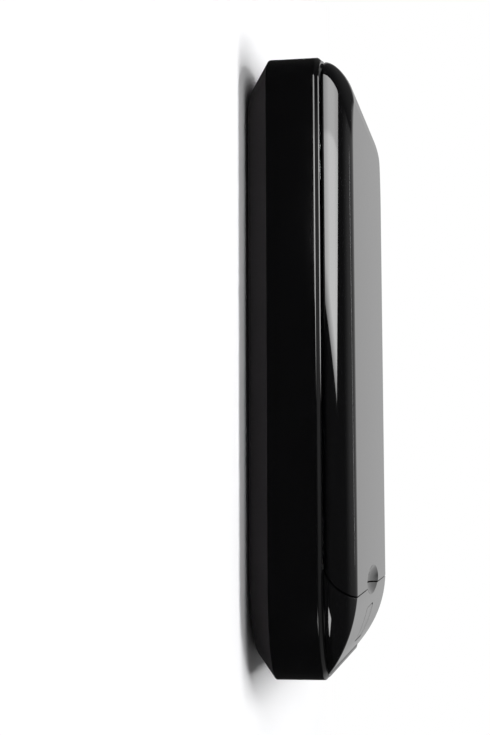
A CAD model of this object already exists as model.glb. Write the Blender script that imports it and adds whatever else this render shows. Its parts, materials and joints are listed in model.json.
"""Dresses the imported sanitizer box: smooth gloss skins, satin underside, inner finishes, stage and camera.

Laid out as an add-on and run as a script. Every length is in metres in the row's own frame: +X points to
the hood end, +Z up, and the ground is z = 0.
"""

import json
from math import asin, radians

import bmesh
import bpy
import numpy as np
from bpy.props import FloatProperty, FloatVectorProperty, IntProperty
from mathutils import Matrix, Vector
from mathutils.geometry import tessellate_polygon


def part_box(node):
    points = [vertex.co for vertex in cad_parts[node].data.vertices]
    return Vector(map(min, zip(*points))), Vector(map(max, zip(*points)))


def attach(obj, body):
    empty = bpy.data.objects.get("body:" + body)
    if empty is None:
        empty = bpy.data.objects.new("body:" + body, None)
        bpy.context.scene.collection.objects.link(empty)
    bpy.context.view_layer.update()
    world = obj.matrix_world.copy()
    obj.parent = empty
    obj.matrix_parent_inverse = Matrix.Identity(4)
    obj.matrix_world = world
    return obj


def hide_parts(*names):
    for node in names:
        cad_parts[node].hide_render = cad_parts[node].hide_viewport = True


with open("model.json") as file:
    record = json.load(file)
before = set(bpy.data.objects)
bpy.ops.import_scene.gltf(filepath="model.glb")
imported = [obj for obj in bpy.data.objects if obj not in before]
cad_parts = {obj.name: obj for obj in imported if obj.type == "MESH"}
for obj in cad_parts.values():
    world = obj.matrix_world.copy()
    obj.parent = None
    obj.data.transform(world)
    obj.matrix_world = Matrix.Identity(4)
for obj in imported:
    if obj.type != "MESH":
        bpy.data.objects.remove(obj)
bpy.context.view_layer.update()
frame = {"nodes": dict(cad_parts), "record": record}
BELT_LOW, BELT_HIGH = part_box("body_shell")
LID_LOW, LID_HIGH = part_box("lid_shell")
COVER_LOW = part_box("bottom_cover")[0]

bl_info = {
    "name": "Sanitizer box",
    "version": (1, 0, 0),
    "blender": (4, 5, 0),
    "location": "View3D > Sidebar > Sanitizer box",
    "description": "Builds the skins, finishes and stage of a sanitizer box for phones",
    "category": "Object",
}

MM = 0.001
TINY = 1e-6  # what counts as the same place, in metres
LEAST_CORNER = 4 * MM  # a corner of the plan gets no smaller than this
PANEL_Y = -0.165  # plane ahead of the box in which the reflected sheets stand


def length(name, description, default):
    """A length property, in metres."""
    return FloatProperty(
        name=name, description=description, default=default, min=0.0, max=1.0, unit="LENGTH", precision=5
    )


def colour(name, description, default):
    """A colour property, red, green and blue in linear light."""
    return FloatVectorProperty(
        name=name, description=description, default=default, min=0.0, max=1.0, size=3, subtype="COLOR"
    )


# ---------------------------------------------------------------- sizes and colours


class BoxSizes(bpy.types.PropertyGroup):
    """Outer form of the box."""

    length: length("Length", "Length over the belt", BELT_HIGH.x - BELT_LOW.x)
    width: length("Width", "Width over the belt", BELT_HIGH.y - BELT_LOW.y)
    height: length("Height", "Height of the flat top", LID_HIGH.z)
    ground_gap: length("Ground gap", "Height of the cover's underside", COVER_LOW.z)
    bevel: length("Bevel", "Height and width of the bevel", 8 * MM)
    rim: length("Rim", "Height of the rim", BELT_HIGH.z)
    rear_corner_l: length("Rear corner length", "Corner length at the hinge end", 11 * MM)
    rear_corner_w: length("Rear corner width", "Corner width at the hinge end", 18 * MM)
    front_corner_l: length("Front corner length", "Corner length at the hood end", 32 * MM)
    front_corner_w: length("Front corner width", "Corner width at the hood end", 18 * MM)
    low_rear_l: length("Low rear length", "Corner length of the underside at the hinge end", 14 * MM)
    low_rear_w: length("Low rear width", "Corner width of the underside at the hinge end", 16 * MM)
    low_front_l: length("Low front length", "Corner length of the underside at the hood end", 34 * MM)
    low_front_w: length("Low front width", "Corner width of the underside at the hood end", 17 * MM)
    draft: length("Draft", "Lean of the belt", 0.35 * MM)
    rim_round: length("Rim rounding", "Radius of the rim's outer edge", 0.6 * MM)
    rim_rise: length("Rim rise", "Height of the rim's rounded and sloping part", 1.7 * MM)
    rim_step: length("Rim step", "Height of the fine step at the top of the rim", 0.30 * MM)
    belt_wall: length("Belt wall", "Wall of the belt", 2.5 * MM)
    screw_pitch: length("Screw pitch", "Distance between the screws under the tray", 64 * MM)
    hood_screw_side: length("Hood screw side", "Distance of the hood's screws from the middle", 28 * MM)


class LidSizes(bpy.types.PropertyGroup):
    """Dome over lid and hood, and the seam between them."""

    step: length("Step", "Step from the belt to the lid", 1.1 * MM)
    chamfer_w: length("Chamfer width", "Width of the chamfer under the edge", 1.25 * MM)
    chamfer_h: length("Chamfer height", "Height of the chamfer under the edge", 1.25 * MM)
    foot: length("Foot", "Height of the lid's lower edge", LID_LOW.z)
    hood_foot: length("Hood foot", "Height and width of the small chamfer at the hood's foot", 0.35 * MM)
    seam_edge: length("Seam edge", "Rounding of the hood's edge along the seam", 0.3 * MM)
    side_round: length("Side rounding", "Width of the rounding along the sides", 7 * MM)
    rear_step: length("Rear step", "Step from the belt to the lid at the hinge end", 1.8 * MM)
    rear_round: length("Rear rounding", "Length of the rounding at the hinge end", 15.9 * MM)
    rear_bend: FloatProperty(
        name="Rear bend", description="Power of the rear rounding", default=1.65, min=1, max=3
    )
    corner_l: length("Edge corner length", "Corner length of the lid's edge at the hinge end", 8.9 * MM)
    corner_w: length("Edge corner width", "Corner width of the lid's edge at the hinge end", 20.8 * MM)
    top_corner_l: length("Top corner length", "Corner length of the flat top at the hinge end", 23.4 * MM)
    top_corner_w: length("Top corner width", "Corner width of the flat top at the hinge end", 4 * MM)
    wall: length("Wall", "Wall at the lid's edge", 2.4 * MM)
    top_wall: length("Top wall", "Thickness of the lid's flat top", 1.8 * MM)
    seam_r: length("Seam radius", "Radius of the curved seam", 16.8 * MM)
    seam_rise: length("Seam rise", "Height of the seam's centre above the top", 4.7 * MM)
    seam_gap: length("Seam gap", "Width of the seam", 0.46 * MM)
    hood_l: length("Hood length", "Length of the hood on the flat top", 29.8 * MM)
    hood_r: length("Slope radius", "Radius of the hood's slope", 46.5 * MM)
    slope_start: length("Slope start", "Distance from the hood end to the slope's start", 32.7 * MM)
    scoop_w: length("Scoop width", "Width of the finger scoop", 36 * MM)
    scoop_l: length("Scoop length", "Length of the finger scoop", 11.2 * MM)
    scoop_depth: length("Scoop depth", "Depth of the finger scoop", 2.5 * MM)
    scoop_offset: length("Scoop offset", "Distance from the seam to the scoop's middle", 2 * MM)


class ButtonSizes(bpy.types.PropertyGroup):
    """The push button on the slope."""

    length: length("Length", "Length down the slope", 12.9 * MM)
    width: length("Width", "Width across the box", 18.1 * MM)
    corner: length("Corner", "Corner radius", 1.2 * MM)
    gap: length("Gap", "Gap around the button", 0.42 * MM)
    inset: length("Inset", "Distance from the hood end to the middle", 16.1 * MM)
    edge: length("Edge", "Rounding of the button's edge", 0.45 * MM)
    depth: length("Depth", "Depth of the button's rim", 3.1 * MM)


class Finish(bpy.types.PropertyGroup):
    """Colours and gloss."""

    black: colour("Gloss black", "Colour of the belt, lid and hood", (0.0019, 0.0019, 0.0022))
    charcoal: colour("Charcoal", "Colour of the underside", (0.0250, 0.0222, 0.0242))
    pale: colour("Pale plastic", "Colour of the tray and inner panel", (0.62, 0.63, 0.64))
    dark: colour("Dark plastic", "Colour of rests and small parts", (0.022, 0.022, 0.024))
    board: colour("Board", "Colour of the circuit boards", (0.012, 0.085, 0.040))
    steel: colour("Steel", "Colour of screws and pins", (0.55, 0.55, 0.56))
    sheet: colour("Sheet", "Colour of the reflector sheets", (0.86, 0.87, 0.88))
    lamp: colour("Lamp", "Colour of the lamp bodies", (0.72, 0.64, 0.40))
    rubber: colour("Rubber", "Colour of the feet", (0.016, 0.016, 0.017))
    floor: colour("Floor", "Colour of the floor", (0.86, 0.86, 0.87))
    gloss: FloatProperty(
        name="Gloss", description="Roughness of the gloss skins", default=0.045, min=0, max=1
    )
    smooth_steps: IntProperty(
        name="Steps", description="Steps in a rounded corner", default=26, min=8, max=64
    )


def sizes():
    """The four groups of values held by the scene."""
    scene = bpy.context.scene
    return scene.san_box, scene.san_lid, scene.san_button, scene.san_finish


# ---------------------------------------------------------------- mesh building


class Skin:
    """Gathers grids and flat faces, and welds them into one closed mesh."""

    def __init__(self):
        self.points = []
        self.faces = []
        self.count = 0

    def _add(self, points):
        start = self.count
        self.points.append(points.reshape(-1, 3))
        self.count += len(self.points[-1])
        return start

    def grid(self, points, wrap_u=False, wrap_v=False, keep=None):
        """Adds a surface P(u, v) given as an array (rows, columns, 3), closed along u or v if asked.
        keep is an array of cells, and a cell that is False stays open."""
        rows, cols = points.shape[:2]
        start = self._add(points)
        index = start + np.arange(rows * cols).reshape(rows, cols)
        if wrap_u:
            index = np.vstack([index, index[:1]])
        if wrap_v:
            index = np.hstack([index, index[:, :1]])
        quads = np.stack([index[:-1, :-1], index[1:, :-1], index[1:, 1:], index[:-1, 1:]], axis=-1)
        quads = quads.reshape(-1, 4) if keep is None else quads[keep]
        self.faces.extend(quads.tolist())

    def flat(self, *loops):
        """Fills a flat face between its outline and any holes."""
        points = np.vstack(loops)
        start = self._add(points)
        triangles = tessellate_polygon([[Vector(p) for p in loop] for loop in loops])
        self.faces.extend([[start + i for i in t] for t in triangles])

    def make(self, name, material, sharp=30.0, weld=2e-6, crisp=None):
        """Welds the patches, turns the faces outwards and returns the object.
        crisp marks more sharp edges: it takes an array of edge middles and ends and returns a mask."""
        mesh = bpy.data.meshes.new(name)
        mesh.from_pydata(np.vstack(self.points).tolist(), [], self.faces)
        work = bmesh.new()
        work.from_mesh(mesh)
        bmesh.ops.remove_doubles(work, verts=work.verts, dist=weld)
        bmesh.ops.dissolve_degenerate(work, edges=work.edges, dist=weld / 4)
        bmesh.ops.recalc_face_normals(work, faces=work.faces)
        work.to_mesh(mesh)
        work.free()
        mesh.polygons.foreach_set("use_smooth", np.ones(len(mesh.polygons), bool))
        mesh.set_sharp_from_angle(angle=radians(sharp))
        if crisp is not None:
            ends = np.empty(len(mesh.edges) * 2, np.int32)
            mesh.edges.foreach_get("vertices", ends)
            place = np.empty(len(mesh.vertices) * 3)
            mesh.vertices.foreach_get("co", place)
            place = place.reshape(-1, 3)[ends.reshape(-1, 2)]
            attribute = mesh.attributes.get("sharp_edge")
            if attribute is None:
                attribute = mesh.attributes.new("sharp_edge", "BOOLEAN", "EDGE")
            flags = np.empty(len(mesh.edges), bool)
            attribute.data.foreach_get("value", flags)
            attribute.data.foreach_set("value", flags | crisp(place))
        mesh.update()
        mesh.materials.append(material)
        thing = bpy.data.objects.new(name, mesh)
        bpy.context.scene.collection.objects.link(thing)
        return thing


def soft_floor(value, low=LEAST_CORNER, blend=1.5 * MM):
    """A value that eases to low and no further: low + (d + sqrt(d d + b b)) / 2 - b b / (4 max(value, low)),
    with d = value - low and b = blend."""
    d = value - low
    return low + 0.5 * (d + np.sqrt(d * d + blend * blend)) - 0.25 * blend * blend / np.maximum(value, low)


def edge_rows(height, inset, offsets):
    """Rows [height + dz, inset + di] of a profile, for offsets (dz, di) in millimetres."""
    return [[height + dz * MM, inset + di * MM] for dz, di in offsets]


def from_edge(guard=0.01):
    """Stations from 0 to 1 with one more close to the start, so that the row beside an edge stays even."""
    return np.concatenate([[0, guard], np.linspace(0, 1, 7)[1:]])


def stations(n, guard):
    """Even stations from 0 to 1 with one more close to each end, so that rounded neighbours don't shade
    what lies between."""
    return np.concatenate([[0.0, guard], np.linspace(0, 1, n + 1)[1:-1], [1 - guard, 1.0]])


def halve(low, high, before, rounds=50):
    """Narrows the stretch from low to high, by halving, on to the place where before(place) turns false."""
    for _ in range(rounds):
        middle = (low + high) / 2
        short = before(middle)
        low, high = np.where(short, middle, low), np.where(short, high, middle)
    return low, high


def corner_angles(steps):
    """Angles of a quarter turn in degrees, a little closer together at both ends."""
    gather = 0.06
    s = np.linspace(0, 1, steps + 1)
    return 90 * (s - gather * np.sin(2 * np.pi * s) / np.pi)


def corner_point(box, which, angle, rear, front, side, corners=None):
    """A point on one corner of the plan: centre + (a cos t, b sin t), a quarter ellipse whose centre follows
    the insets, as its semi-axes do unless corners gives them, rear then front.
    which is 0 front right, 1 rear right, 2 rear left, 3 front left."""
    x1 = box.length / 2 - front
    x0 = -box.length / 2 + rear
    y1 = box.width / 2 - side
    at_front = (which == 0) | (which == 3)
    right = which < 2
    if corners is None:
        corners = (soft_floor(box.rear_corner_l - rear), soft_floor(box.rear_corner_w - side),
                   soft_floor(box.front_corner_l - front), soft_floor(box.front_corner_w - side))
    a = np.where(at_front, corners[2], corners[0])
    b = np.where(at_front, corners[3], corners[1])
    cx = np.where(at_front, x1 - a, x0 + a)
    cy = np.where(right, y1 - b, b - y1)
    t = np.radians(angle)
    return cx + a * np.cos(t), cy + b * np.sin(t)


def ring_path(finish):
    """Stations once round the plan, counter-clockwise from the front end: two corner places each and the
    blend between them, so that a straight side is a line between the ends of two corners."""
    runs = []
    for k in range(4):
        angles = 90 * k + corner_angles(finish.smooth_steps)
        corner = np.full(angles.shape, k)
        runs.append((corner, angles, corner, angles, np.zeros(angles.shape)))
        s = stations(8, 0.006)[1:-1]
        angles = np.full(s.shape, 90.0 * (k + 1))
        runs.append((np.full(s.shape, k), angles, np.full(s.shape, (k + 1) % 4), angles, s))
    return [np.concatenate(column) for column in zip(*runs)]


def carried(box, path, rows, corners=None):
    """A profile carried round the plan, one ring for each row [height, inset]. Between two corners a point
    is (1 - w) first + w second."""
    rows = np.asarray(rows)
    c1, a1, c2, a2, w = path
    inset = rows[:, 1:]
    x1, y1 = corner_point(box, c1, a1, inset, inset, inset, corners)
    x2, y2 = corner_point(box, c2, a2, inset, inset, inset, corners)
    x, y = (1 - w) * x1 + w * x2, (1 - w) * y1 + w * y2
    z = np.broadcast_to(rows[:, :1], x.shape)
    return np.stack([x, y, z], axis=-1)


def bevel_corners(box, rows):
    """Corner sizes of the bevel's rings. They run evenly from the belt's at the top of the bevel to the
    underside's at its foot, less what a ring lies inside the bevel's outer face."""
    share = (box.ground_gap + box.bevel - rows[:, :1]) / box.bevel
    inside = rows[:, 1:] - box.bevel * share
    pairs = ((box.rear_corner_l, box.low_rear_l), (box.rear_corner_w, box.low_rear_w),
             (box.front_corner_l, box.low_front_l), (box.front_corner_w, box.low_front_w))
    return [soft_floor(high + (low - high) * share - inside) for high, low in pairs]


def half_width(box, x, front, side):
    """Half the plan's width at x, ahead of the rear corners: straight, then b sqrt(1 - t t) in the corner."""
    a = soft_floor(box.front_corner_l - front)
    b = soft_floor(box.front_corner_w - side)
    cx = box.length / 2 - front - a
    t = np.clip((x - cx) / a, 0, 1)
    return box.width / 2 - side - b + b * np.sqrt(1 - t * t)


def dome_rises(steps):
    """Sines of the angles up the dome's side, with one more ring close to each end."""
    return np.sin(np.radians(np.concatenate([[0.0, 0.7], np.linspace(0, 90, steps + 1)[1:-1], [89.5, 90.0]])))


def dome_form(lid, extra, rise, skin=0.0):
    """Rear inset, side inset and rear corner of the dome at its rises s. The side draws in by
    1 - sqrt(1 - s s), an ellipse, and the rear by 1 - (1 - s^n)^(1/n). extra is added to every inset."""
    draw = 1 - np.sqrt(1 - rise * rise)
    bend = lid.rear_bend
    rear_draw = 1 - np.maximum(1 - rise**bend, 0) ** (1 / bend)
    rear = lid.rear_step + skin + extra + (lid.rear_round - skin) * rear_draw
    side = lid.step + skin + extra + lid.side_round * draw
    corner_l = np.maximum(lid.corner_l + (lid.top_corner_l - lid.corner_l) * draw - skin, LEAST_CORNER)
    corner_w = np.maximum(lid.corner_w + (lid.top_corner_w - lid.corner_w) * draw - skin, LEAST_CORNER)
    return rear, side, corner_l, corner_w


def side_inset(box, lid, z, skin=0.0, cap=0.0):
    """Side inset at height z: of the dome, of the upright wall below it, or of the small chamfer at the
    foot."""
    edge = lid.foot + lid.chamfer_h
    sine = np.clip((z - edge) / (box.height - cap - edge), 0, 1)
    dome = lid.step + skin + lid.side_round * (1 - np.sqrt(1 - sine * sine))
    if skin > 0:
        return dome
    chamfer = lid.step + np.clip(lid.foot + lid.hood_foot - z, 0, lid.hood_foot)
    return np.where(z < edge, chamfer, dome)


def seam_centre(box, lid):
    """Centre of the seam's circle in x and z."""
    x = box.length / 2 - lid.hood_l - np.sqrt(lid.seam_r**2 - lid.seam_rise**2)
    return x, box.height + lid.seam_rise


def seam_x(box, lid, z, grow):
    """The seam's x at height z: centre + sqrt(r r - (z - zc) (z - zc)), with r grown by grow."""
    cx, cz = seam_centre(box, lid)
    return cx + np.sqrt(np.maximum((lid.seam_r + grow) ** 2 - (z - cz) ** 2, 0))


def scoop_values(box, lid):
    """Middle, axis height, greatest radius and profile radius of the finger scoop's spindle."""
    half = lid.scoop_l / 2
    axis = (half**2 - lid.scoop_depth**2) / (2 * lid.scoop_depth)
    arc = ((lid.scoop_w / 2) ** 2 + lid.scoop_depth**2) / (2 * lid.scoop_depth)
    middle = box.length / 2 - lid.hood_l - lid.scoop_offset
    return middle, axis, axis + lid.scoop_depth, arc


def scoop_radius(box, lid, y):
    """Radius of the spindle at y: r = R - A + sqrt(A A - y y)."""
    _, _, big, arc = scoop_values(box, lid)
    return big - arc + np.sqrt(arc**2 - y * y)


def scoop_z(box, lid, x, y):
    """Height of the scoop's surface: top + axis - sqrt(r r - (x - xm) (x - xm))."""
    middle, axis, _, _ = scoop_values(box, lid)
    r = scoop_radius(box, lid, y)
    return box.height + axis - np.sqrt(np.maximum(r * r - (x - middle) ** 2, axis**2 * 0.25))


def scoop_half(box, lid, y):
    """Half the scoop's length on the flat top at y: sqrt(r r - axis axis)."""
    _, axis, _, _ = scoop_values(box, lid)
    r = scoop_radius(box, lid, y)
    return np.sqrt(np.maximum(r * r - axis * axis, 0))


def scoop_seam(box, lid, y, grow):
    """Where the scoop crosses the seam's surface, found by repeating z = scoop(x), x = seam(z)."""
    z = np.full(np.shape(y), box.height)
    for _ in range(40):
        x = seam_x(box, lid, z, grow)
        z = np.minimum(scoop_z(box, lid, x, y), box.height)
    return seam_x(box, lid, z, grow), z


def scoop_reach(box, lid, grow):
    """The y at which the scoop's edge on the flat top meets the seam."""
    middle, axis, big, arc = scoop_values(box, lid)
    ahead = seam_x(box, lid, box.height, grow) - middle
    r = np.sqrt(axis**2 + ahead**2)
    return float(np.sqrt(arc**2 - (r - big + arc) ** 2))


# ---------------------------------------------------------------- materials


class Tree:
    """A short way to lay out a node tree."""

    def __init__(self, tree):
        self.tree = tree
        self.tree.nodes.clear()

    def add(self, kind, **values):
        """A node, with its settings and plain inputs given by name."""
        node = self.tree.nodes.new(kind)
        for key, value in values.items():
            if hasattr(node, key):
                setattr(node, key, value)
            else:
                node.inputs[key.replace("_", " ")].default_value = value
        return node

    def link(self, source, target):
        """Joins an output to an input."""
        self.tree.links.new(source, target)

    def axes(self, coords="Object"):
        """The parts x, y and z of a coordinate."""
        place = self.add("ShaderNodeTexCoord")
        split = self.add("ShaderNodeSeparateXYZ")
        self.link(place.outputs[coords], split.inputs["Vector"])
        return [split.outputs[axis] for axis in "XYZ"]

    def spread(self, source, low, high, to_low, to_high, kind="LINEAR"):
        """Maps a value from one range to another and holds it there."""
        node = self.add("ShaderNodeMapRange", interpolation_type=kind)
        for key, value in zip(("From Min", "From Max", "To Min", "To Max"), (low, high, to_low, to_high)):
            node.inputs[key].default_value = value
        self.link(source, node.inputs["Value"])
        return node.outputs["Result"]

    def ramp(self, source, low, high):
        """A smooth step of a value from 0 at low to 1 at high."""
        return self.spread(source, low, high, 0, 1, "SMOOTHSTEP")

    def between(self, share, low, high):
        """low + (high - low) share."""
        return self.spread(share, 0, 1, low, high)

    def maths(self, operation, *terms):
        """A Math node on values and plain numbers."""
        node = self.add("ShaderNodeMath", operation=operation)
        for socket, term in zip(node.inputs, terms):
            if isinstance(term, float):
                socket.default_value = term
            else:
                self.link(term, socket)
        return node.outputs["Value"]

    def times(self, a, b):
        """The product of two values."""
        return self.maths("MULTIPLY", a, b)

    def weighted(self, a, p, b, q):
        """The sum p a + q b of two values."""
        return self.maths("MULTIPLY_ADD", a, p, self.maths("MULTIPLY", b, q))

    def blend(self, share, first, second):
        """A shader that goes from the first to the second with a value."""
        node = self.add("ShaderNodeMixShader")
        for source, socket in zip((share, first, second), node.inputs):
            self.link(source, socket)
        return node.outputs["Shader"]


class Nodes(Tree):
    """A material by name, with its output ready."""

    def __init__(self, name):
        self.material = bpy.data.materials.get(name) or bpy.data.materials.new(name)
        self.material.use_nodes = True
        super().__init__(self.material.node_tree)
        self.out = self.add("ShaderNodeOutputMaterial")

    def spots(self, scale, detail, rough, stretch=(1, 1, 1)):
        """Noise on object coordinates."""
        place = self.add("ShaderNodeTexCoord")
        turn = self.add("ShaderNodeMapping", Scale=stretch)
        noise = self.add("ShaderNodeTexNoise", Scale=scale, Detail=detail, Roughness=rough)
        self.link(place.outputs["Object"], turn.inputs["Vector"])
        self.link(turn.outputs["Vector"], noise.inputs["Vector"])
        return noise.outputs["Fac"]

    def tint(self, source, low, high):
        """Blends two colours by a value."""
        node = self.add("ShaderNodeMix", data_type="RGBA")
        node.inputs["A"].default_value = (*low, 1)
        node.inputs["B"].default_value = (*high, 1)
        self.link(source, node.inputs["Factor"])
        return node.outputs["Result"]

    def bump(self, source, strength, distance):
        """A bump from a height value."""
        node = self.add("ShaderNodeBump", Strength=strength, Distance=distance)
        self.link(source, node.inputs["Height"])
        return node.outputs["Normal"]

    def surface(self, colour, **values):
        """The principled shader, with plain numbers set on its own sockets. Returns its inputs."""
        shader = self.add("ShaderNodeBsdfPrincipled")
        shader.inputs["Base Color"].default_value = (*colour, 1)
        for key, value in values.items():
            shader.inputs[key.replace("_", " ")].default_value = value
        self.link(shader.outputs["BSDF"], self.out.inputs["Surface"])
        return shader.inputs


def scaled(colour, k):
    """A colour made lighter or darker."""
    return tuple(min(1.0, c * k) for c in colour)


def gloss_black(finish):
    """Moulded black plastic with a high gloss: faint handling haze, very shallow flow waves and fine dust."""
    m = Nodes("gloss_black")
    s = m.surface(finish.black, Roughness=finish.gloss, IOR=1.50)
    haze = m.spots(scale=28, detail=4, rough=0.6)
    dust = m.spread(m.spots(scale=900, detail=2, rough=0.5), 0.70, 0.82, 0, 1)
    waves = m.spots(scale=16, detail=1, rough=0.4)
    m.link(m.spread(haze, 0.35, 0.75, finish.gloss * 0.7, finish.gloss * 1.6), s["Roughness"])
    m.link(m.tint(dust, finish.black, scaled(finish.black, 2.6)), s["Base Color"])
    m.link(m.bump(waves, strength=0.05, distance=0.4 * MM), s["Normal"])
    return m.material


def button_black(finish):
    """The button's gloss, a touch softer and lighter than the hood."""
    m = Nodes("button_black")
    s = m.surface(scaled(finish.black, 1.5), Roughness=0.09, IOR=1.50)
    haze = m.spots(scale=60, detail=4, rough=0.6)
    m.link(m.spread(haze, 0.3, 0.8, 0.07, 0.15), s["Roughness"])
    return m.material


def satin_charcoal(finish):
    """Spark-eroded charcoal plastic: fine even grain and a soft sheen."""
    m = Nodes("charcoal_plastic")
    s = m.surface(finish.charcoal, Roughness=0.46, IOR=1.48)
    cloud = m.spots(scale=40, detail=3, rough=0.55)
    grain = m.spots(scale=2600, detail=3, rough=0.6)
    m.link(m.tint(cloud, scaled(finish.charcoal, 0.86), scaled(finish.charcoal, 1.16)), s["Base Color"])
    m.link(m.spread(grain, 0.3, 0.7, 0.40, 0.54), s["Roughness"])
    m.link(m.bump(grain, strength=0.22, distance=0.12 * MM), s["Normal"])
    return m.material


def satin(name, colour, rough, grain_scale=1800, strength=0.12):
    """Satin moulded plastic or rubber: faint clouds of colour and a fine grain."""
    m = Nodes(name)
    s = m.surface(colour, Roughness=rough, IOR=1.47)
    cloud = m.spots(scale=35, detail=3, rough=0.5)
    grain = m.spots(scale=grain_scale, detail=2, rough=0.6)
    m.link(m.tint(cloud, scaled(colour, 0.93), scaled(colour, 1.05)), s["Base Color"])
    m.link(m.spread(grain, 0.3, 0.7, rough - 0.05, rough + 0.07), s["Roughness"])
    m.link(m.bump(grain, strength=strength, distance=0.1 * MM), s["Normal"])
    return m.material


def metal(name, colour, rough, stretch=(1, 1, 1), scale=900):
    """Plated or rolled metal: fine marks drawn out along one way."""
    m = Nodes(name)
    s = m.surface(colour, Metallic=1.0, Roughness=rough)
    marks = m.spots(scale=scale, detail=4, rough=0.6, stretch=stretch)
    cloud = m.spots(scale=60, detail=2, rough=0.5)
    m.link(m.spread(marks, 0.3, 0.7, rough * 0.75, rough * 1.35), s["Roughness"])
    m.link(m.tint(cloud, scaled(colour, 0.94), scaled(colour, 1.03)), s["Base Color"])
    m.link(m.bump(marks, strength=0.08, distance=0.05 * MM), s["Normal"])
    return m.material


def circuit_board(finish):
    """Solder mask with faint copper tracks under it: a pattern of oblong cells, lighter where copper lies."""
    m = Nodes("board_green")
    s = m.surface(finish.board, Roughness=0.28, IOR=1.5)
    place = m.add("ShaderNodeTexCoord")
    cells = m.add("ShaderNodeTexBrick", Scale=260, Mortar_Size=0.09, Color1=(1, 1, 1, 1),
                  Color2=(0.6, 0.6, 0.6, 1), Mortar=(0, 0, 0, 1))
    m.link(place.outputs["Object"], cells.inputs["Vector"])
    copper = m.tint(cells.outputs["Color"], scaled(finish.board, 0.8), scaled(finish.board, 1.5))
    m.link(copper, s["Base Color"])
    m.link(m.bump(cells.outputs["Fac"], strength=0.15, distance=0.04 * MM), s["Normal"])
    return m.material


def clear_glass():
    """Polished quartz discs over the lamps."""
    m = Nodes("clear_glass")
    s = m.surface((0.93, 0.95, 1.0), Roughness=0.02, IOR=1.46, Transmission_Weight=0.92)
    haze = m.spots(scale=120, detail=2, rough=0.5)
    m.link(m.spread(haze, 0.3, 0.8, 0.015, 0.05), s["Roughness"])
    return m.material


# ---------------------------------------------------------------- skins


def belt_profile(box):
    """Rows [height, inset] of the belt's closed profile, up the outside and down the inside, and the two
    heights between which the socket's mouth is cut."""
    foot = box.ground_gap + box.bevel
    top = box.rim
    wall = box.belt_wall
    begin = top - box.rim_rise
    span = begin - foot
    low_panel, high_panel = foot + 2.8 * MM, foot + 11 * MM
    turn = np.radians(np.linspace(0, 45, 8))
    rows = edge_rows(foot, wall, [(0, 0.2)])
    rows += edge_rows(foot, 0.0, [(0, 0.35), (0.06, 0.16), (0.2, 0.04), (0.4, 0), (0.7, 0.004)])
    rows += [[z, box.draft * (z - foot) / span] for z in (low_panel, high_panel, begin - 0.3 * MM)]
    rows += [[begin + box.rim_round * np.sin(t), box.draft + box.rim_round * (1 - np.cos(t))] for t in turn]
    step_z = top - box.rim_step
    step_in = rows[-1][1] + step_z - rows[-1][0]
    rows += edge_rows(step_z, step_in, [(0, 0), (0.05, 0.012)])
    rows += edge_rows(top, step_in, [(-0.1, 0.06), (-0.03, 0.09), (0, 0.16), (0, 0.26)])
    rows += edge_rows(top, wall, [(0, -0.22), (-0.03, -0.1), (-0.1, -0.02), (-0.25, 0)])
    # the inner ledge, the plain wall and the tongue that stands in the cover
    rows += edge_rows(top, wall, [(-3.6, 0), (-3.6, 2), (-5.6, 2), (-5.6, 0)])
    rows += [[high_panel, wall], [low_panel, wall]]
    rows += edge_rows(foot, wall, [(1.5, 0), (1.5, 1.5), (-1, 1.5), (-1, 0.2)])
    return np.array(rows), (low_panel, high_panel)


def belt_skin(box, finish, material):
    """The belt: one closed profile carried round the plan, with the power socket's mouth in the rear wall.
    The mouth is two half circles joined by straight lines."""
    socket_w, socket_h, socket_rise, cell_half = 9.6 * MM, 3.8 * MM, 6.8 * MM, 8 * MM
    rows, panels = belt_profile(box)
    path = ring_path(finish)
    # the rear end is the straight run between corners 1 and 2: its middle cell holds the socket's mouth
    c1, _, c2, _, w = path
    rear_run = np.flatnonzero((c1 == 1) & (c2 == 2))
    mid = rear_run[len(rear_run) // 2:len(rear_run) // 2 + 2]
    flat_half = box.width / 2 - box.rear_corner_w
    w[mid] = 0.5 + np.array([-cell_half, cell_half]) / (2 * flat_half)
    w[rear_run] = np.sort(w[rear_run])
    points = carried(box, path, rows)
    t = np.linspace(0, 2 * np.pi, 49)[:-1]
    hole_y = (socket_w - socket_h) / 2 * np.clip(1e6 * np.cos(t), -1, 1) + socket_h / 2 * np.cos(t)
    hole_z = box.ground_gap + box.bevel + socket_rise + socket_h / 2 * np.sin(t)
    (outer_low, inner_low), (outer_high, inner_high) = (
        np.flatnonzero(np.isclose(rows[:, 0], height)) for height in panels
    )
    keep = np.ones((len(rows), points.shape[1]), bool)
    skin = Skin()
    loops = []
    for first, last in ((outer_low, outer_high), (inner_high, inner_low)):
        keep[first, mid[0]] = False
        cell = points[[first, first, last, last], [mid[0], mid[1], mid[1], mid[0]]]
        low, high = cell[np.argmin(cell[:, 2])], cell[np.argmax(cell[:, 2])]
        share = (hole_z - low[2]) / (high[2] - low[2])
        hole = np.stack([low[0] + share * (high[0] - low[0]), hole_y, hole_z], axis=-1)
        skin.flat(cell, hole)
        loops.append(hole)
    skin.grid(points, wrap_u=True, wrap_v=True, keep=keep)
    skin.grid(np.stack(loops), wrap_v=True)
    return skin.make("belt_skin", material)


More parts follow.
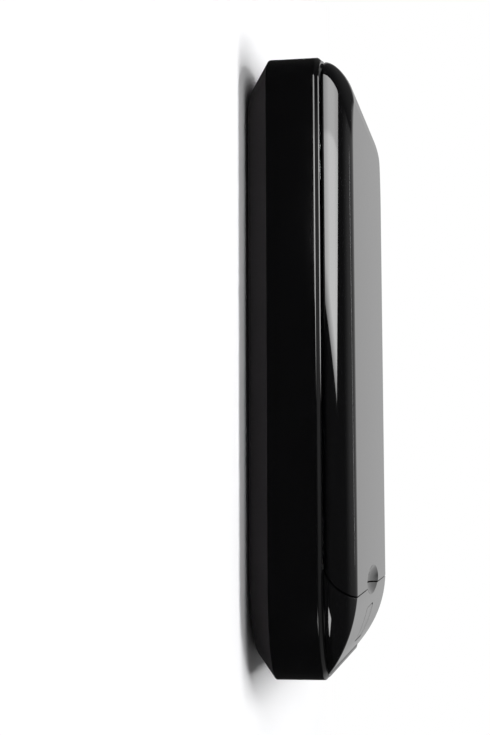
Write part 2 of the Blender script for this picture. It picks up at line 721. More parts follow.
def cover_skin(box, finish, material):
    """The underside: a 45 degree bevel carried round the plan, closed by flat faces with the screws' and
    the feet's seats."""
    z0 = box.ground_gap
    z1 = z0 + box.bevel
    top_edge = edge_rows(z1, 0.0, [(0, 0.12), (-0.05, 0.03), (-0.16, 0.1), (-0.5, 0.5)])
    low_edge = [(0.8, -0.8), (0.45, -0.42), (0.15, -0.02), (0.03, 0.25), (0, 0.55), (0, 1)]
    outside = np.array(top_edge + edge_rows(z0, box.bevel, low_edge))
    seat = edge_rows(z1, 0.0, [(0, 0.12), (0, 2.6), (-1.1, 2.6), (-1.1, 4.5)])
    inside = np.array(seat + edge_rows(z0, 0.0, [(2.4, 9)]))
    path = ring_path(finish)
    outer = carried(box, path, outside, bevel_corners(box, outside))
    inner = carried(box, path, inside, bevel_corners(box, inside))
    skin = Skin()
    skin.grid(outer, wrap_v=True)
    skin.grid(inner, wrap_v=True)
    skin.flat(inner[-1])
    t = np.linspace(0, 2 * np.pi, 41)[:-1]
    holes = []
    for x, y, radius, depth in underside_seats(box):
        circle = np.stack([x + radius * np.cos(t), y + radius * np.sin(t), np.full(t.shape, z0)], axis=-1)
        top = circle + np.array([0, 0, depth])
        skin.grid(np.stack([circle, top]), wrap_v=True)
        skin.flat(top)
        holes.append(circle)
    skin.flat(outer[-1], *holes)
    return skin.make("cover_skin", material)


def underside_seats(box):
    """Round seats in the underside as (x, y, radius, depth): six screws under the tray, two under the hood
    and four feet, placed from the boxes of the screws and the feet."""
    screws_low, screws_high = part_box("cover_screws")
    feet_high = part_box("rubber_feet")[1]
    head, slack, foot_r = 2.4 * MM, 0.1 * MM, 5 * MM
    seat = head + slack
    sunk = float(screws_low.z) + 0.4 * MM - box.ground_gap
    tray_x = float(screws_low.x) + head
    tray_y = float(screws_high.y) - head
    hood_x = float(screws_high.x) - head
    foot_x, foot_y = float(feet_high.x) - foot_r, float(feet_high.y) - foot_r
    seats = [(tray_x + k * box.screw_pitch, s * tray_y, seat, sunk) for k in range(3) for s in (-1, 1)]
    seats += [(hood_x, s * box.hood_screw_side, seat, sunk) for s in (-1, 1)]
    seats += [(sx * foot_x, sy * foot_y, foot_r + slack, 1 * MM) for sx in (-1, 1) for sy in (-1, 1)]
    return seats


def lid_profile(box, lid):
    """Rows of the lid's outer form from its lower edge to the flat top: height, inset added to the dome's,
    and the dome's rise."""
    foot, edge = lid.foot, lid.foot + lid.chamfer_h
    low = edge_rows(foot, lid.chamfer_w, [(0, 0.85), (0, 0.12), (0.05, 0), (0.17, -0.12)])
    low += edge_rows(edge, 0.0, [(-0.3, 0.28), (-0.12, 0.11), (-0.05, 0.045), (0, 0.012)])
    rows = [[height, inset, 0] for height, inset in low]
    rows += [[edge + 0.06 * MM, 0, 0.0066], [edge + 0.2 * MM, 0, 0.0219]]
    rises = dome_rises(26)
    z = edge + (box.height - edge) * rises
    rows += [[a, 0, s] for a, s in zip(z, rises) if a > edge + 0.3 * MM]
    rows.append([box.height, 0.25 * MM, 1.0])
    return np.array(rows)


def lid_side_grid(box, lid, finish, rows, grow, skin=0.0):
    """The lid's sides and rear as P(row, station): along one side from the seam, round the rear, and back.
    A side run goes from the seam's x to the corner, with y from the plan's half width, and a corner is the
    quarter ellipse centre + (a cos t, b sin t)."""
    z = rows[:, 0]
    rear, side, corner_l, corner_w = dome_form(lid, rows[:, 1], rows[:, 2], skin)
    xs = seam_x(box, lid, z, grow)
    centre_x = (-box.length / 2 + rear + corner_l)[:, None]
    centre_y = (box.width / 2 - side - corner_w)[:, None]
    # stations along a side, close together at the seam and at the corner
    s = np.concatenate([[0, 0.001, 0.004, 0.012, 0.03], np.linspace(0.06, 0.94, 24), [0.985, 0.996, 1.0]])
    run_x = xs[:, None] + (centre_x - xs[:, None]) * s
    run_y = half_width(box, run_x, side[:, None], side[:, None])
    angles = np.radians(90 + corner_angles(finish.smooth_steps))
    x1 = centre_x + corner_l[:, None] * np.cos(angles)
    y1 = centre_y + corner_w[:, None] * np.sin(angles)
    q = stations(10, 0.01)[1:-1]
    rear_y = y1[:, -1:] + (-2 * y1[:, -1:]) * q
    rear_x = np.broadcast_to(x1[:, -1:], rear_y.shape)
    half_x = np.hstack([run_x[:, :-1], x1])
    half_y = np.hstack([run_y[:, :-1], y1])
    x = np.hstack([half_x, rear_x, half_x[:, ::-1]])
    y = np.hstack([half_y, rear_y, -half_y[:, ::-1]])
    return np.stack([x, y, np.broadcast_to(z[:, None], x.shape)], axis=-1)


def across(reach):
    """Stations across the scoop as y = reach sin(t), closer together towards its ends."""
    return reach * np.sin(np.linspace(-np.pi / 2, np.pi / 2, 33))


def lid_skin(box, lid, finish, material):
    """The lid: dome, flat top with the finger scoop, front face along the seam, and the hollow inside."""
    grow = -lid.seam_gap / 2
    rows = lid_profile(box, lid)
    outer = lid_side_grid(box, lid, finish, rows, grow)
    skin = Skin()
    skin.grid(outer)
    top = outer[-1]
    reach = scoop_reach(box, lid, grow)
    middle = scoop_values(box, lid)[0]
    inner_y = across(reach)
    end_x, end_z = scoop_seam(box, lid, inner_y, grow)
    end_z[[0, -1]] = box.height
    end_x[[0, -1]] = seam_x(box, lid, box.height, grow)
    # flat top: outline, then the scoop's edge back from the seam
    tip = lid.scoop_w / 2
    tail_y = np.linspace(reach, tip, 7)
    left_y = np.concatenate([tail_y[::-1][:-1], inner_y[::-1], -tail_y[1:]])
    left_x = middle - scoop_half(box, lid, left_y)
    left = np.stack([left_x, left_y, np.full(left_y.shape, box.height)], axis=-1)
    tail_x = middle + scoop_half(box, lid, tail_y)
    right = np.stack([tail_x, tail_y, np.full(tail_y.shape, box.height)], axis=-1)
    right[0, 0] = seam_x(box, lid, box.height, grow)
    mirrored = right * np.array([1, -1, 1])
    skin.flat(np.vstack([top, mirrored[:-1], left[::-1][:-1], right[::-1]]))
    # scoop surface
    sy = np.concatenate([-tail_y[::-1][:-1], inner_y, tail_y[1:]])
    from_x = middle - scoop_half(box, lid, sy)
    to_x = np.concatenate([tail_x[::-1][:-1], end_x, tail_x[1:]])
    t = np.linspace(0, 1, 15)
    gx = from_x[:, None] + (to_x - from_x)[:, None] * t
    gz = np.minimum(scoop_z(box, lid, gx, sy[:, None]), box.height)
    gz[:, 0] = box.height
    beside = np.full(len(tail_y) - 1, box.height)
    gz[:, -1] = np.concatenate([beside, end_z, beside])
    skin.grid(np.stack([gx, np.broadcast_to(sy[:, None], gx.shape), gz], axis=-1))
    # front face along the seam, row by row with the sides
    z = rows[:-1, 0]
    edge_y = outer[:-1, -1, 1]
    out_y = np.linspace(1, 0, 9)[:-1]
    outside = reach + (abs(edge_y[-1]) - reach) * out_y
    y_line = np.concatenate([-outside, inner_y, outside[::-1]])
    beside = np.full(len(out_y), box.height)
    z_line = np.concatenate([beside, end_z, beside])
    fraction = y_line / abs(edge_y[-1])
    face_y = np.abs(edge_y)[:, None] * fraction
    level = (z - z[0]) / (z[-1] - z[0])
    face_z = z[0] + (z_line - z[0])[None] * level[:, None]
    face_x = seam_x(box, lid, face_z, grow)
    skin.grid(np.stack([face_x, face_y, face_z], axis=-1))
    # lower edge: a flat ring, then the hollow's walls and ceiling
    edge = lid.foot + lid.chamfer_h
    rises = np.array([0, 0.3, 0.6, 0.85, 1.0])
    levels = np.append(lid.foot, edge + (box.height - lid.top_wall - edge) * rises)
    in_rows = np.stack([levels, np.zeros(levels.shape), np.append(0, rises)], axis=-1)
    inner = lid_side_grid(box, lid, finish, in_rows, grow - lid.wall, lid.wall)
    inner[0, :, 0] = np.minimum(inner[0, :, 0], seam_centre(box, lid)[0])
    skin.grid(inner)
    skin.grid(np.stack([outer[0], inner[0]]))
    ends = np.linspace(0, 1, len(fraction))
    back = inner[:, -1:, :] + (inner[:, :1, :] - inner[:, -1:, :]) * ends[None, :, None]
    skin.grid(back)
    skin.flat(inner[-1])
    foot_line = np.stack([face_x[0], face_y[0], face_z[0]], axis=-1)
    skin.grid(np.stack([foot_line, back[0]]))

    def scoop_edge(place):
        on_top = np.abs(place[..., 2] - box.height) < TINY
        half = scoop_half(box, lid, np.clip(place[..., 1], -tip, tip))
        near = np.abs(np.abs(place[..., 0] - middle) - half) < 2 * TINY
        return (on_top & near & (np.abs(place[..., 1]) < tip + TINY)).all(axis=1)

    return skin.make("lid_skin", material, crisp=scoop_edge)


def hood_levels(box, lid, skin, grow):
    """Centre and radius of the slope's circle, drawn in by skin, and its angles at the seam and the rim."""
    cx, cz = seam_centre(box, lid)
    sx = box.length / 2 - lid.slope_start
    sz = box.height - lid.hood_r
    r = lid.hood_r - skin

    def inside_seam(angle):
        x, z = sx + r * np.sin(angle), sz + r * np.cos(angle)
        return (x - cx) ** 2 + (z - cz) ** 2 < (lid.seam_r + grow) ** 2

    first = halve(0.0, 0.5, inside_seam, rounds=60)[1]
    last = np.arccos((box.rim - sz) / r)
    return sx, sz, r, first, last


def hood_sheet(box, lid, button, inner):
    """The hood's surfaces as patches. A level at height z is a path: from the seam along the plan's side,
    round the corner by a quadratic curve, and straight across at the slope's x. The slope is the cylinder
    x = xs + R sin p, z = zs + R cos p, with the button's opening mapped on to it. margin lies round the
    opening, turn_r rounds the side into the slope, and strip is half the width of the middle strip."""
    margin, turn_r, strip = 1.6 * MM, 0.7 * MM, 0.0186
    skin = 2.2 * MM if inner else 0.0
    grow = lid.seam_gap / 2 + skin
    sx, sz, r, first, last = hood_levels(box, lid, skin, grow)
    tilt = asin((box.length / 2 - button.inset - sx) / lid.hood_r)
    hole_l = button.length + 2 * button.gap
    hole_w = button.width + 2 * button.gap
    pa = tilt - (hole_l / 2 + margin) / r
    pb = tilt + (hole_l / 2 + margin) / r
    edge = lid.foot + lid.hood_foot
    # rows close together at the chamfer's edge, and none of the even rows right beside them
    near_edge = np.arccos((edge + np.array([0.15, 0.05, 0.0, -0.05, -0.15]) * MM - sz) / r)
    tail = np.linspace(pb, last, 23)
    clear = 0.006
    tail = tail[(np.abs(tail - near_edge[2]) > clear) | (tail == last) | (tail == pb)]
    above = np.concatenate([np.linspace(first, pa, 15)[:-1], np.linspace(pa, pb, 25)[:-1]])
    p = np.concatenate([above, np.sort(np.append(tail, near_edge))])
    z = sz + r * np.cos(p)
    x_slope = sx + r * np.sin(p)
    inset = side_inset(box, lid, z, skin, skin)
    a = soft_floor(box.front_corner_l - inset)
    b = soft_floor(box.front_corner_w - inset)
    cx = box.length / 2 - inset - a
    cy = box.width / 2 - inset - b
    x_seam = seam_x(box, lid, z, grow)
    brow = np.minimum(0.0 if inner else lid.seam_edge, 0.2 * (x_slope - x_seam))
    x_begin = x_seam + brow
    start_angle = np.arccos(np.clip((x_begin - cx) / a, 0, 1))
    end_angle = np.arccos(np.clip((x_slope - cx) / a, 0, 1))
    radius = np.minimum(turn_r, 0.3 * (x_slope - x_seam))
    if inner:
        radius = radius * 0.1
    speed = np.sqrt((a * np.sin(end_angle)) ** 2 + (b * np.cos(end_angle)) ** 2)
    stop_angle = np.minimum(end_angle + radius / speed, start_angle)
    s = stations(5, 0.05)
    straight_x = x_begin[:, None] + (np.maximum(cx, x_begin) - x_begin)[:, None] * s
    beyond = np.clip((straight_x - cx[:, None]) / a[:, None], 0, 1)
    straight_y = cy[:, None] + b[:, None] * np.sqrt(1 - beyond**2)
    e = np.linspace(0, 1, 19)
    angle = start_angle[:, None] + (stop_angle - start_angle)[:, None] * e
    arc_x = cx[:, None] + a[:, None] * np.cos(angle)
    arc_y = cy[:, None] + b[:, None] * np.sin(angle)
    q = np.linspace(0, 1, 7)[None]
    tip_y = cy + b * np.sin(end_angle)
    edge_y = tip_y - radius
    turn_x = (1 - q) ** 2 * arc_x[:, -1:] + 2 * q * (1 - q) * x_slope[:, None] + q**2 * x_slope[:, None]
    turn_y = (1 - q) ** 2 * arc_y[:, -1:] + 2 * q * (1 - q) * tip_y[:, None] + q**2 * edge_y[:, None]
    round_t = np.radians([0, 15, 30, 45, 60, 75])[None]
    brow_x = x_seam[:, None] + brow[:, None] * (1 - np.cos(round_t))
    brow_y = straight_y[:, :1] - brow[:, None] * (1 - np.sin(round_t))
    side_x = np.hstack([brow_x, straight_x[:, :-1], arc_x[:, :-1], turn_x])
    side_y = np.hstack([brow_y, straight_y[:, :-1], arc_y[:, :-1], turn_y])
    side = np.stack([side_x, side_y, np.broadcast_to(z[:, None], side_x.shape)], axis=-1)
    # slope: two side strips here; the middle strip, a little wider than the scoop, holds the opening
    ys = edge_y[:, None] + (strip - edge_y)[:, None] * from_edge()
    slope_x = np.broadcast_to(x_slope[:, None], ys.shape)
    slope = np.stack([slope_x, ys, np.broadcast_to(z[:, None], ys.shape)], axis=-1)
    mirror = np.array([1, -1, 1])
    return {
        "patches": [side, (side * mirror)[:, ::-1], slope, (slope * mirror)[:, ::-1]],
        "p": p, "z": z, "x": x_slope, "strip": strip, "pa": pa, "pb": pb, "r": r, "sx": sx, "sz": sz,
        "hole": (hole_l, hole_w), "grow": grow, "first": first, "edge_y": edge_y,
        "side_y": side_y, "x_seam": x_seam,
    }


def frame_points(l, w, counts):
    """Points round a rectangle, evenly spaced, with counts for its long and its wide sides."""
    nl, nw = counts
    right = np.stack([np.full(nw, l / 2), np.linspace(-w / 2, w / 2, nw + 1)[:-1]], axis=-1)
    top = np.stack([np.linspace(l / 2, -l / 2, nl + 1)[:-1], np.full(nl, w / 2)], axis=-1)
    left = np.stack([np.full(nw, -l / 2), np.linspace(w / 2, -w / 2, nw + 1)[:-1]], axis=-1)
    low = np.stack([np.linspace(-l / 2, l / 2, nl + 1)[:-1], np.full(nl, -w / 2)], axis=-1)
    return np.vstack([right, top, left, low])


def pull_to_rounded(points, l, w, r):
    """Rays from the middle through a rectangle's points, cut by a rounded rectangle: each point is scaled by
    the factor that puts it on the outline, where the outline's signed distance is zero."""

    def within(factor):
        p = np.abs(points * factor[:, None]) - np.array([l / 2 - r, w / 2 - r])
        outside = np.maximum(p, 0)
        return np.hypot(outside[:, 0], outside[:, 1]) + np.minimum(p.max(axis=1), 0) - r < 0

    factor = halve(np.zeros(len(points)), np.ones(len(points)), within)[1]
    return points * factor[:, None]


def hood_middle(box, lid, button, sheet, inner):
    """The middle strip of the slope: its patches from the seam or the scoop to the button's frame and on to
    the rim, the frame as a ring round the opening, the opening's edge, the stations across and the angles
    at which the strip begins."""
    p, r, sx, sz, strip = sheet["p"], sheet["r"], sheet["sx"], sheet["sz"], sheet["strip"]
    ia = int(np.argmin(np.abs(p - sheet["pa"])))
    ib = int(np.argmin(np.abs(p - sheet["pb"])))
    hole_l, hole_w = sheet["hole"]
    n_w = 32
    ys = np.linspace(-strip, strip, n_w + 1)

    def on_slope(angle, y):
        angle, y = np.broadcast_arrays(angle, y)
        return np.stack([sx + r * np.sin(angle), y, sz + r * np.cos(angle)], axis=-1)

    begin = np.full(ys.shape, sheet["first"]) if inner else scoop_slope(box, lid, sheet, ys)
    share = (p[:ia + 1] - p[0]) / (p[ia] - p[0])
    angle = begin[None] + (p[ia] - begin)[None] * share[:, None]
    patches = [on_slope(angle, ys[None]), on_slope(p[ib:, None], ys[None])]
    # frame and opening, in flat coordinates (arc length down the slope, y)
    frame_l = (p[ib] - p[ia]) * r
    mid = (p[ib] + p[ia]) / 2
    outer = frame_points(frame_l, 2 * strip, (ib - ia, n_w))
    arc_l = 2 * r * np.arcsin(min(hole_l / 2 / r, 0.9))
    beyond = outer * np.array([arc_l / frame_l, hole_w / (2 * strip)]) * 1.5
    hole = pull_to_rounded(beyond, arc_l, hole_w, button.corner + button.gap)
    k = from_edge(0.03)[:, None, None]
    flat = hole[None] * (1 - k) + outer[None] * k
    ring = on_slope(mid + flat[..., 0] / r, flat[..., 1])
    return patches, ring, on_slope(mid + hole[:, 0] / r, hole[:, 1]), ys, begin


def scoop_slope(box, lid, sheet, y):
    """Angle on the slope at which the scoop's surface comes out of it, or the seam's angle outside it."""
    furthest = 0.16
    r, sx, sz = sheet["r"], sheet["sx"], sheet["sz"]

    def cut_away(angle):
        return scoop_z(box, lid, sx + r * np.sin(angle), y) < sz + r * np.cos(angle)

    seam = np.full(y.shape, sheet["first"])
    return np.where(cut_away(seam), halve(seam, seam + furthest, cut_away)[0], seam)


def hood_scoop(box, lid, sheet, ys, begin):
    """The scoop's share in the hood, and the heights of its edge on the seam. Each column runs as
    x = (1 - t) seam + t slope, with z on the spindle; outside the scoop it shrinks to a point."""
    seam_z = np.minimum(scoop_seam(box, lid, ys, sheet["grow"])[1], sheet["z"][0])
    seam_at = seam_x(box, lid, seam_z, sheet["grow"])
    slope_at = sheet["sx"] + sheet["r"] * np.sin(begin)
    slope_z = sheet["sz"] + sheet["r"] * np.cos(begin)
    t = np.linspace(0, 1, 9)[:, None]
    x = seam_at + (slope_at - seam_at) * t
    z = np.minimum(scoop_z(box, lid, x, ys), seam_z + (slope_z - seam_z) * t + 5 * MM)
    z[0], z[-1] = seam_z, slope_z
    outside = begin <= sheet["first"] + 1e-9
    z[:, outside] = sheet["z"][0]
    x[:, outside] = sheet["x_seam"][0]
    return np.stack([x, np.broadcast_to(ys, x.shape), z], axis=-1), seam_z


def hood_skin(box, lid, button, material):
    """The hood: sides, slope with the button's opening, concave seam face with its share of the scoop, and
    the same surfaces drawn in for the inside, joined round the foot and round the opening."""
    skin = Skin()
    loops = []
    feet = []
    for inner in (False, True):
        sheet = hood_sheet(box, lid, button, inner)
        strips, ring, hole, ys, begin = hood_middle(box, lid, button, sheet, inner)
        for patch in sheet["patches"] + strips:
            skin.grid(patch)
        skin.grid(ring, wrap_v=True)
        loops.append(hole)
        # seam face: rows are the levels, drawn down where the scoop cuts its top edge
        z, strip, edge_y = sheet["z"], sheet["strip"], sheet["edge_y"]
        outer_y = edge_y[0] + (strip - edge_y[0]) * from_edge()
        line_y = np.concatenate([-outer_y[:-1], ys, outer_y[::-1][1:]])
        top_z = np.full(line_y.shape, z[0])
        if not inner:
            scoop, seam_z = hood_scoop(box, lid, sheet, ys, begin)
            skin.grid(scoop)
            top_z[len(outer_y) - 1:len(outer_y) - 1 + len(ys)] = seam_z
        level = (z - z[-1]) / (z[0] - z[-1])
        face_y = sheet["side_y"][:, :1] * (line_y / abs(line_y[0]))
        face_y[0] = line_y
        face_z = z[-1] + (top_z - z[-1])[None] * level[:, None]
        face_x = seam_x(box, lid, face_z, sheet["grow"])
        face = np.stack([face_x, face_y, face_z], axis=-1)
        skin.grid(face)
        # foot: round the side, across the slope, back along the other side and along the seam face
        foot_y = edge_y[-1] + (strip - edge_y[-1]) * from_edge()
        front_y = np.concatenate([foot_y, ys[::-1][1:], -foot_y[::-1][1:]])
        front_x, front_z = np.full(front_y.shape, sheet["x"][-1]), np.full(front_y.shape, z[-1])
        front = np.stack([front_x, front_y, front_z], axis=-1)
        side = sheet["patches"][0][-1]
        other = (side * np.array([1, -1, 1]))[::-1]
        feet.append(np.vstack([side[:-1], front[:-1], other[:-1], face[-1][:-1]]))
    skin.grid(np.stack(loops), wrap_v=True)
    skin.flat(feet[0], feet[1])
    return skin.make("hood_skin", material)


def button_skin(box, lid, button, material):
    """The button: rings of a rounded rectangle from its middle out, z = sqrt(R R - x x) - R on the slope's
    circle, a rounded edge, then straight down to its flange, and the stem below."""
    stem_r, stem_l, flange_w, flange_t = 1.7 * MM, 1.15 * MM, 1 * MM, 1 * MM
    sx = box.length / 2 - lid.slope_start
    sz = box.height - lid.hood_r
    bx = box.length / 2 - button.inset
    tilt = asin((bx - sx) / lid.hood_r)
    outer = frame_points(button.length, button.width, (24, 32))
    rim = pull_to_rounded(outer * 1.5, button.length, button.width, button.corner)
    e = button.edge
    scale = np.array([button.length, button.width]) / 2
    levels = [(rim * (1 - e / scale) * s, 0.0) for s in (0.0, 0.2, 0.4, 0.6, 0.8, 0.95)]
    levels += [(rim * (1 - e * (1 - np.sin(f)) / scale), -e * (1 - np.cos(f)))
               for f in np.radians(np.linspace(0, 90, 8))]
    rings = [np.column_stack([flat, np.sqrt(lid.hood_r**2 - flat[:, 0] ** 2) - lid.hood_r + drop])
             for flat, drop in levels]
    lip = pull_to_rounded(outer * 1.8, button.length + 2 * flange_w, button.width + 2 * flange_w,
                          button.corner + flange_w)
    t = np.arctan2(outer[:, 1], outer[:, 0])
    stem = stem_r * np.column_stack([np.cos(t), np.sin(t)])
    for flat, drop in ((rim, 0.0), (lip, 0.0), (lip, flange_t), (stem, flange_t), (stem, flange_t + stem_l)):
        rings.append(np.column_stack([flat, np.full(len(flat), -button.depth - drop)]))
    local = np.stack(rings)
    c, s = np.cos(tilt), np.sin(tilt)
    x = bx + local[..., 0] * c + local[..., 2] * s
    z = sz + lid.hood_r * c - local[..., 0] * s + local[..., 2] * c
    world = np.stack([x, local[..., 1], z], axis=-1)
    skin = Skin()
    skin.grid(world, wrap_v=True)
    skin.flat(world[-1])
    return skin.make("button_skin", material, sharp=40)


# ---------------------------------------------------------------- operators


class SAN_OT_belt(bpy.types.Operator):
    """Build the belt's gloss skin over its node"""

    bl_idname = "sanitizer.belt"
    bl_label = "Belt"

    def execute(self, context):
        box, _, _, finish = sizes()
        piece = belt_skin(box, finish, gloss_black(finish))
        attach(piece, "root")
        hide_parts("body_shell")
        return {"FINISHED"}


class SAN_OT_cover(bpy.types.Operator):
    """Build the satin underside over its node"""

    bl_idname = "sanitizer.cover"
    bl_label = "Underside"

    def execute(self, context):
        box, _, _, finish = sizes()
        piece = cover_skin(box, finish, satin_charcoal(finish))
        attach(piece, "root")
        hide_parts("bottom_cover")
        return {"FINISHED"}


class SAN_OT_lid(bpy.types.Operator):
    """Build the lid's gloss skin over its node"""

    bl_idname = "sanitizer.lid"
    bl_label = "Lid"

    def execute(self, context):
        box, lid, _, finish = sizes()
        piece = lid_skin(box, lid, finish, gloss_black(finish))
        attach(piece, "lid")
        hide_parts("lid_shell")
        return {"FINISHED"}


class SAN_OT_hood(bpy.types.Operator):
    """Build the hood's gloss skin over its node"""

    bl_idname = "sanitizer.hood"
    bl_label = "Hood"

    def execute(self, context):
        box, lid, button, finish = sizes()
        piece = hood_skin(box, lid, button, gloss_black(finish))
        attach(piece, "root")
        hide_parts("front_hood")
        return {"FINISHED"}


class SAN_OT_button(bpy.types.Operator):
    """Build the push button over its node"""

    bl_idname = "sanitizer.button"
    bl_label = "Button"

    def execute(self, context):
        box, lid, button, finish = sizes()
        piece = button_skin(box, lid, button, button_black(finish))
        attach(piece, "button")
        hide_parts("power_button")
        return {"FINISHED"}


class SAN_OT_inner(bpy.types.Operator):
    """Give the carried-over nodes their finishes"""

    bl_idname = "sanitizer.inner"
    bl_label = "Inner finishes"

    def execute(self, context):
        finish = sizes()[3]
        looks = {
            "pale_plastic": satin("pale_plastic", finish.pale, 0.42),
            "dark_plastic": satin("dark_plastic", finish.dark, 0.5),
            "mirror_sheet": metal("mirror_sheet", finish.sheet, 0.13, stretch=(0.04, 1, 1), scale=700),
            "board_green": circuit_board(finish),
            "lamp_body": satin("lamp_body", finish.lamp, 0.35),
            "clear_glass": clear_glass(),
            "steel": metal("steel", finish.steel, 0.28),
            "magnet": metal("magnet", scaled(finish.steel, 1.15), 0.16),
            "wire_black": satin("wire_black", finish.rubber, 0.55),
            "rubber": satin("rubber", finish.rubber, 0.68, grain_scale=1200, strength=0.2),
            "gloss_black": gloss_black(finish),
            "charcoal_plastic": satin_charcoal(finish),
            "button_black": button_black(finish),
        }
        for entry in frame["record"]["subparts"]:
            node = frame["nodes"][entry["node"]]
            node.data.materials.clear()
            node.data.materials.append(looks[entry["material_slot"]])
        return {"FINISHED"}


class SAN_OT_stage(bpy.types.Operator):
    """Set the floor, the light and the camera"""

    bl_idname = "sanitizer.stage"
    bl_label = "Stage"

    def execute(self, context):
        finish = sizes()[3]
        make_floor(finish)
        make_world()
        make_lights()
        make_camera()
        bpy.context.scene.view_settings.view_transform = "Standard"
        return {"FINISHED"}


# ---------------------------------------------------------------- stage


def make_floor(finish):
    """A wide white floor that keeps the box's shadow and turns to plain white away from the box. Mirror-like
    rays see it dark ahead of the box and paler behind it, as the table that the gloss skins reflect."""
    dark, pale = 0.035, 0.46
    span = np.linspace(-2.5, 2.5, 3)
    x, y = np.meshgrid(span, span, indexing="ij")
    skin = Skin()
    skin.grid(np.stack([x, y, np.zeros_like(x)], axis=-1))
    m = Nodes("floor")
    shade = m.add("ShaderNodeBsdfDiffuse", Color=(*finish.floor, 1))
    white = m.add("ShaderNodeEmission", Strength=1.0)
    table = m.add("ShaderNodeEmission")
    depth = m.axes()[1]
    m.link(m.between(m.ramp(depth, 0.10, 0.40), dark, pale), table.inputs["Strength"])
    place = m.add("ShaderNodeTexCoord")
    reach = m.add("ShaderNodeVectorMath", operation="LENGTH")
    m.link(place.outputs["Object"], reach.inputs[0])
    far = m.maths("MAXIMUM", m.ramp(depth, 0.06, 0.16), m.ramp(reach.outputs["Value"], 0.35, 0.70))
    seen = m.blend(far, shade.outputs["BSDF"], white.outputs["Emission"])
    ray = m.add("ShaderNodeLightPath")
    whole = m.blend(ray.outputs["Is Glossy Ray"], seen, table.outputs["Emission"])
    m.link(whole, m.out.inputs["Surface"])
    floor = skin.make("floor", m.material)


def make_world():
    """White to the camera. To the object, a bright wall behind it, a dim ceiling and a dark room ahead. x, y
    and z are the parts of a ray's unit direction, and each ramp is a soft edge of the wall or ceiling."""
    wall_foot, wall_top, wall_share = 0.50, 0.76, 0.9
    ceiling_level, ceiling_right = 0.58, 0.45
    room_level = 0.09
    world = bpy.context.scene.world or bpy.data.worlds.new("world")
    bpy.context.scene.world = world
    world.use_nodes = True
    m = Tree(world.node_tree)
    out = m.add("ShaderNodeOutputWorld")
    x, y, z = m.axes("Generated")
    edges = m.times(m.ramp(y, 0.25, 0.50), m.ramp(z, 0.62, 0.42))
    edges = m.times(edges, m.ramp(m.weighted(x, 1.0, y, 0.45), -0.06, 0.03))
    wall = m.times(m.between(m.ramp(z, -0.06, 0.11), wall_foot, wall_top), edges)
    ceiling = m.times(m.ramp(y, -0.58, 0.02), m.ramp(x, -0.31, -0.26))
    ceiling = m.times(ceiling, m.between(m.ramp(x, -0.05, 0.16), 1.0, ceiling_right))
    ceiling = m.times(m.between(ceiling, 0.0, ceiling_level), m.ramp(z, 0.40, 0.62))
    level = m.between(m.weighted(wall, wall_share, ceiling, 1.0), room_level, 1.0 + room_level)
    room = m.add("ShaderNodeBackground")
    m.link(level, room.inputs["Strength"])
    white = m.add("ShaderNodeBackground", Color=(1, 1, 1, 1))
    ray = m.add("ShaderNodeLightPath")
    whole = m.blend(ray.outputs["Is Camera Ray"], room.outputs["Background"], white.outputs["Background"])
    m.link(whole, out.inputs["Surface"])


def area_light(name, place, width, height, power):
    """A soft rectangular lamp at a place, facing the origin, that mirror-like rays don't see."""
    data = bpy.data.lights.new(name, "AREA")
    data.shape = "RECTANGLE"
    data.size = width
    data.size_y = height
    data.energy = power
    lamp = bpy.data.objects.new(name, data)
    aim = (-Vector(place)).to_track_quat("-Z", "Y").to_matrix().to_4x4()
    lamp.matrix_world = Matrix.Translation(place) @ aim
    lamp.visible_camera = False
    lamp.visible_glossy = False
    bpy.context.scene.collection.objects.link(lamp)


def glow_panel(name, corners, level):
    """A four-cornered sheet that only mirror-like rays see. level is a number, or a function that takes the
    panel's Nodes and gives a value."""
    skin = Skin()
    skin.grid(np.array(corners, float).reshape(2, 2, 3))
    m = Nodes(name)
    glow = m.add("ShaderNodeEmission")
    if callable(level):
        m.link(level(m), glow.inputs["Strength"])
    else:
        glow.inputs["Strength"].default_value = level
    m.link(glow.outputs["Emission"], m.out.inputs["Surface"])
    panel = skin.make(name, m.material)
    panel.visible_camera = False
    panel.visible_diffuse = False
    panel.visible_shadow = False


def softbox_level(m):
    """Steps up a little to the right of a soft line, and fades towards the sheet's foot, its top and its
    slanted right edge."""
    left, right, foot_share, top_share, edge_share = 9.6, 12.6, 0.60, 0.74, 0.40
    x, _, z = m.axes()
    step = m.between(m.ramp(x, -0.113, -0.109), left, right)
    foot = m.spread(z, 0.014, 0.050, foot_share, 1.0)
    top = m.spread(z, 0.085, 0.140, 1.0, top_share)
    edge = m.spread(m.weighted(x, 1.0, z, -0.566), -0.067, -0.0454, 1.0, edge_share)
    return m.times(m.times(step, foot), m.times(top, edge))


def make_lights():
    """Soft lamps above and ahead for the satin parts, and the sheets that the gloss reflects: a softbox
    ahead of the box on its hinge side, slanted as it stood in the room, a small pane of light on the hood's
    side, and a long tube overhead."""
    tube_level, pane_level = 7.0, 9.0
    softbox = ((-0.150, 0.0148), (-0.150, 0.1430), (-0.037, 0.0148), (0.007, 0.0925))
    pane = ((0.116, 0.0185), (0.140, 0.0340), (0.150, 0.0148), (0.196, 0.0148))
    tube = ((-0.475, 0.272, 1.5), (-0.475, 0.308, 1.5), (0.190, 0.732, 1.5), (0.190, 0.768, 1.5))
    glow_panel("softbox", [(x, PANEL_Y, z) for x, z in softbox], softbox_level)
    glow_panel("tube", tube, tube_level)
    glow_panel("glint", [(x, PANEL_Y, z) for x, z in pane], pane_level)
    area_light("overhead", (0.0, 0.06, 1.2), 1.0, 0.16, 12.0)
    area_light("key", (-0.5, -0.7, 0.9), 0.5, 0.5, 6.0)


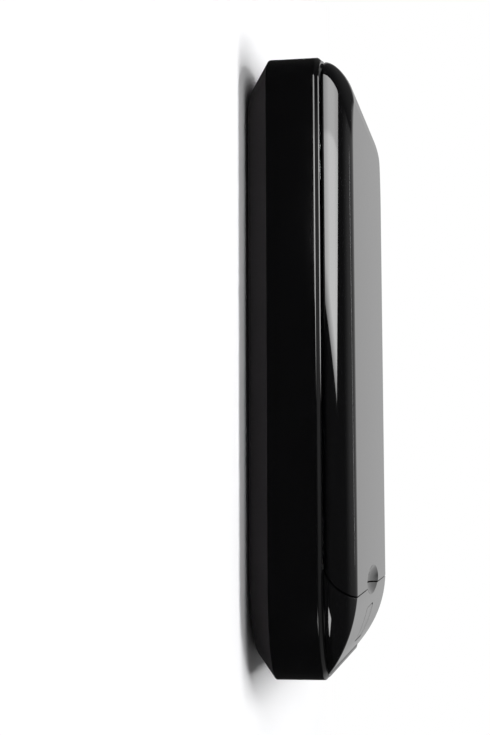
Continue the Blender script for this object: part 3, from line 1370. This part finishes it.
def make_camera():
    """The photograph's camera as solved: its place, its axes and its lens on a 36 mm frame. The photograph
    stands on end, so the frame's right is up in the room."""
    picture_h = 735.0
    focal_px = 1224.234
    place = (0.039089, -0.462730, 0.090769)
    down = Vector((0.99614869, 0.08504059, -0.0213514)).normalized()
    ahead = Vector((-0.08763642, 0.97335842, -0.21188024)).normalized()
    right = down.cross(ahead).normalized()
    down = ahead.cross(right).normalized()
    data = bpy.data.cameras.new("camera")
    data.sensor_width = 36.0
    data.lens = focal_px / picture_h * data.sensor_width
    data.clip_start = 0.01
    camera = bpy.data.objects.new("camera", data)
    rows = Matrix((right, -down, -ahead)).transposed().to_4x4()
    camera.matrix_world = Matrix.Translation(place) @ rows
    bpy.context.scene.collection.objects.link(camera)
    bpy.context.scene.camera = camera


# ---------------------------------------------------------------- panel and run


class SAN_PT_panel(bpy.types.Panel):
    """Steps and sizes of the sanitizer box"""

    bl_label = "Sanitizer box"
    bl_idname = "SAN_PT_panel"
    bl_space_type = "VIEW_3D"
    bl_region_type = "UI"
    bl_category = "Sanitizer box"

    def draw(self, context):
        column = self.layout.column(align=True)
        for step in STEPS:
            column.operator(step.bl_idname)
        for group in sizes():
            for key in group.bl_rna.properties.keys():
                if key not in ("rna_type", "name"):
                    self.layout.prop(group, key)


GROUPS = (("san_box", BoxSizes), ("san_lid", LidSizes), ("san_button", ButtonSizes), ("san_finish", Finish))
STEPS = (SAN_OT_inner, SAN_OT_cover, SAN_OT_belt, SAN_OT_hood, SAN_OT_lid, SAN_OT_button, SAN_OT_stage)


def register():
    """Registers the values, the steps and the panel."""
    for name, group in GROUPS:
        bpy.utils.register_class(group)
        setattr(bpy.types.Scene, name, bpy.props.PointerProperty(type=group))
    for step in STEPS:
        bpy.utils.register_class(step)
    bpy.utils.register_class(SAN_PT_panel)


def unregister():
    """Removes what register added."""
    bpy.utils.unregister_class(SAN_PT_panel)
    for step in reversed(STEPS):
        bpy.utils.unregister_class(step)
    for name, group in reversed(GROUPS):
        delattr(bpy.types.Scene, name)
        bpy.utils.unregister_class(group)


def main():
    """Runs every step in order and notes the sizes of the CAD box and of the dressed box."""
    register()
    for step in ("inner", "cover", "belt", "hood", "lid", "button", "stage"):
        getattr(bpy.ops.sanitizer, step)()


if __name__ == "__main__":
    main()
